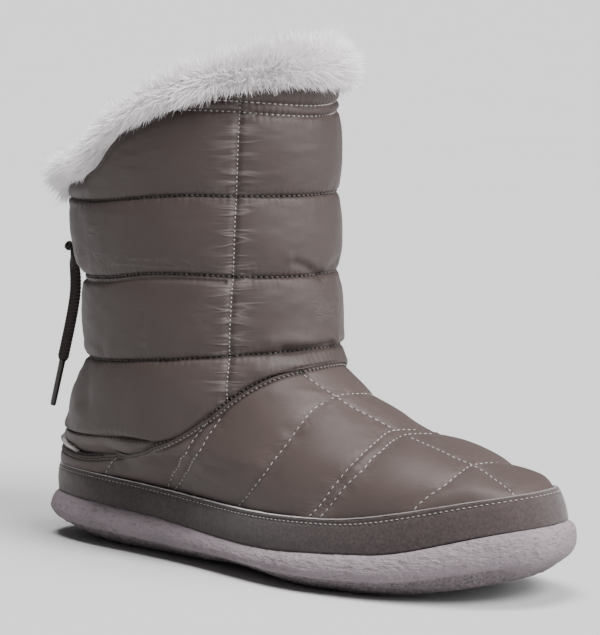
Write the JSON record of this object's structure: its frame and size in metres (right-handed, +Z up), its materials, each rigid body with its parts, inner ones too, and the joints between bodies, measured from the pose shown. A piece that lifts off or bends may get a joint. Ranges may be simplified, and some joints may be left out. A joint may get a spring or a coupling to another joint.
{
  "type": "slipper boot",
  "caption": "Quilted ankle-high slipper boot with a fur collar, suede rand, soft moulded sole and a short lace at the back.",
  "frame": {"origin": "on the floor under the middle of the boot", "axes": "+X towards the toe, +Y towards the inner side of the foot, +Z up"},
  "size_m": [0.2732, 0.1116, 0.226],
  "materials": {
    "sole": "matte moulded foam rubber with a fine crepe grain",
    "fleece": "short pile fleece",
    "shell": "close woven quilted cotton with a slight sheen",
    "suede": "brushed suede",
    "fur": "long pile faux fur",
    "tape": "plain woven tape",
    "eyelet": "dark antique",
    "lace": "flat braided cotton",
    "aglet": "wrapped tip"
  },
  "bodies": {
    "root": {"outsole": "sole", "insole": "fleece", "upper": "shell", "rand": "suede", "shaft": "shell", "collar": "fur", "heel_tab": "tape", "eyelet_inner_1": "eyelet", "eyelet_inner_2": "eyelet", "eyelet_inner_3": "eyelet", "eyelet_outer_1": "eyelet", "eyelet_outer_2": "eyelet", "eyelet_outer_3": "eyelet", "lace_crossings": "lace", "lace_knot": "lace", "lace_end_outer": "lace", "lace_end_inner": "lace", "aglet_outer": "aglet", "aglet_inner": "aglet"}
  },
  "joints": []
}
